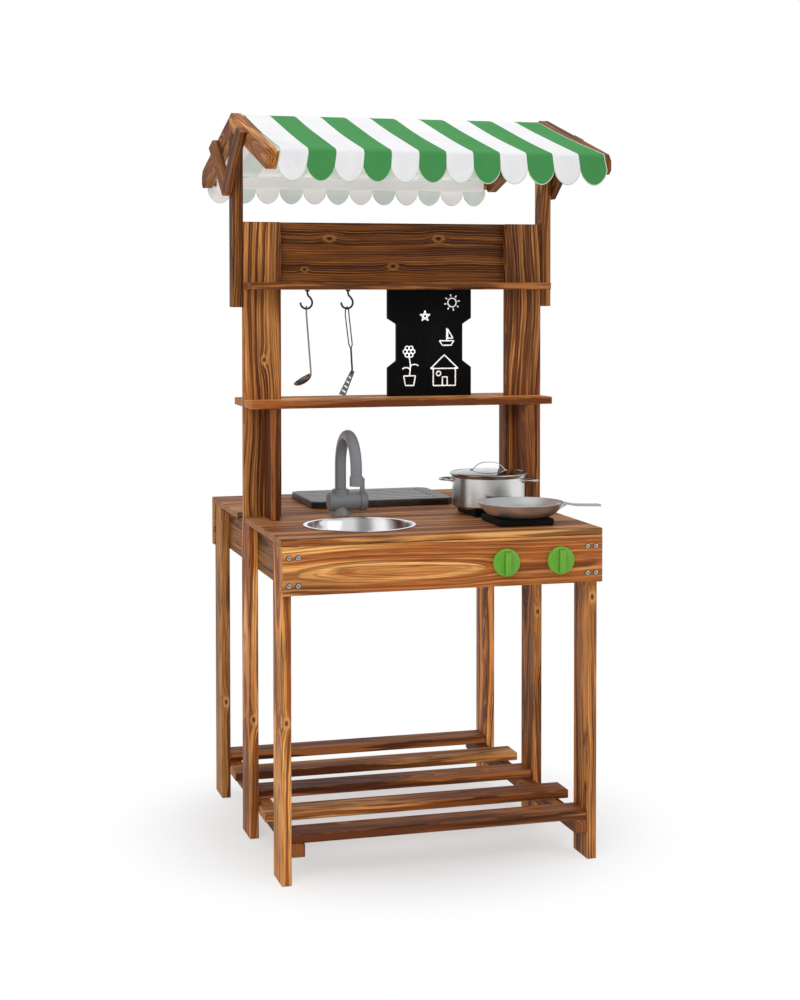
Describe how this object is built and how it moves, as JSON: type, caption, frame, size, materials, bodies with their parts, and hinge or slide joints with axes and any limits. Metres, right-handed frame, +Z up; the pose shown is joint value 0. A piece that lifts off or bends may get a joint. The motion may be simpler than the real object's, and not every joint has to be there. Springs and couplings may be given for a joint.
{
  "type": "play mud kitchen",
  "caption": "Free-standing play kitchen of scorched fir boards with a slatted floor shelf, sink, faucet, hob, chalkboard, utensils on hooks and a striped gable canopy.",
  "frame": {"origin": "on the floor, at the centre of the overall box", "axes": "+Z up, -Y out of the front with the knobs, +X towards the hob as seen from the front"},
  "size_m": [0.6702, 0.7164, 1.3897],
  "materials": {
    "fir": "scorched, brushed and oiled",
    "canopy_cloth": "woven, striped",
    "chalkboard": "matt black board paint",
    "steel": "satin stainless",
    "hook_black": "dark",
    "faucet_grey": "satin",
    "plate_black": "painted black",
    "knob_green": "semi-gloss",
    "tray_grey": "satin"
  },
  "bodies": {
    "frame": {"apron_front": "fir", "apron_left": "fir", "apron_rear": "fir", "apron_right": "fir", "back_panel": "fir", "canopy": "canopy_cloth", "chalkboard": "chalkboard", "eave_beam_front": "fir", "eave_beam_rear": "fir", "faucet_body": "faucet_grey", "floor_rail_left": "fir", "floor_rail_right": "fir", "floor_slat_1": "fir", "floor_slat_2": "fir", "floor_slat_3": "fir", "floor_slat_4": "fir", "floor_slat_5": "fir", "front_bracket_left": "fir", "front_bracket_right": "fir", "hob_plate_front": "plate_black", "hob_plate_rear": "plate_black", "hook_left": "hook_black", "hook_rail": "fir", "hook_right": "hook_black", "leg_front_left": "fir", "leg_front_right": "fir", "leg_middle_left": "fir", "leg_middle_right": "fir", "leg_rear_left": "fir", "leg_rear_right": "fir", "lower_shelf": "fir", "rafter_front_left": "fir", "rafter_front_right": "fir", "rafter_rear_left": "fir", "rafter_rear_right": "fir", "rear_bracket_left": "fir", "rear_bracket_right": "fir", "ridge_beam": "fir", "roof_brace_front_left": "fir", "roof_brace_front_right": "fir", "roof_brace_rear_left": "fir", "roof_brace_rear_right": "fir", "roof_post_left": "fir", "roof_post_right": "fir", "tabletop_front_panel": "fir", "tabletop_middle_plank": "fir", "tabletop_rear_panel": "fir", "upright_board_left": "fir", "upright_board_right": "fir"},
    "knob_left": {"knob_left": "knob_green"},
    "knob_right": {"knob_right": "knob_green"},
    "faucet_spout": {"faucet_spout": "faucet_grey"},
    "faucet_lever": {"faucet_lever": "faucet_grey"},
    "ladle": {"ladle": "steel"},
    "spatula": {"spatula": "steel"},
    "pot": {"pot": "steel"},
    "pot_lid": {"pot_lid": "steel"},
    "frying_pan": {"frying_pan": "steel"},
    "sink_bowl": {"sink_bowl": "steel"},
    "drain_tray": {"drain_tray": "tray_grey"}
  },
  "joints": [
    {"name": "knob_left_turn", "type": "hinge", "parent": "frame", "child": "knob_left", "pos_m": [0.1132, -0.33805, 0.561], "axis": [0, -1, 0], "range_deg": [-135, 135]},
    {"name": "knob_right_turn", "type": "hinge", "parent": "frame", "child": "knob_right", "pos_m": [0.2176, -0.33805, 0.561], "axis": [0, -1, 0], "range_deg": [-135, 135]},
    {"name": "faucet_swivel", "type": "hinge", "parent": "frame", "child": "faucet_spout", "pos_m": [-0.1165, -0.02575, 0.6683], "axis": [0, 0, 1], "range_deg": [-60, 75]},
    {"name": "faucet_lever_turn", "type": "hinge", "parent": "frame", "child": "faucet_lever", "pos_m": [-0.079, -0.02575, 0.6441], "axis": [1, 0, 0], "range_deg": [-75, 75]},
    {"name": "ladle_swing", "type": "hinge", "parent": "frame", "child": "ladle", "pos_m": [-0.186, -0.03775, 1.0165], "axis": [1, 0, 0], "range_deg": [-55, 55]},
    {"name": "spatula_swing", "type": "hinge", "parent": "frame", "child": "spatula", "pos_m": [-0.106, -0.03775, 1.0165], "axis": [1, 0, 0], "range_deg": [-55, 55]},
    {"name": "pot_lift", "type": "slide", "parent": "frame", "child": "pot", "axis": [0, 0, 1], "range_m": [0, 0.045]},
    {"name": "pot_lid_lift", "type": "slide", "parent": "pot", "child": "pot_lid", "axis": [0, 0, 1], "range_m": [0, 0.045]},
    {"name": "frying_pan_lift", "type": "slide", "parent": "frame", "child": "frying_pan", "axis": [0, 0, 1], "range_m": [0, 0.035]},
    {"name": "sink_bowl_lift", "type": "slide", "parent": "frame", "child": "sink_bowl", "axis": [0, 0, 1], "range_m": [0, 0.064]},
    {"name": "drain_tray_lift", "type": "slide", "parent": "frame", "child": "drain_tray", "axis": [0, 0, 1], "range_m": [0, 0.05]}
  ]
}
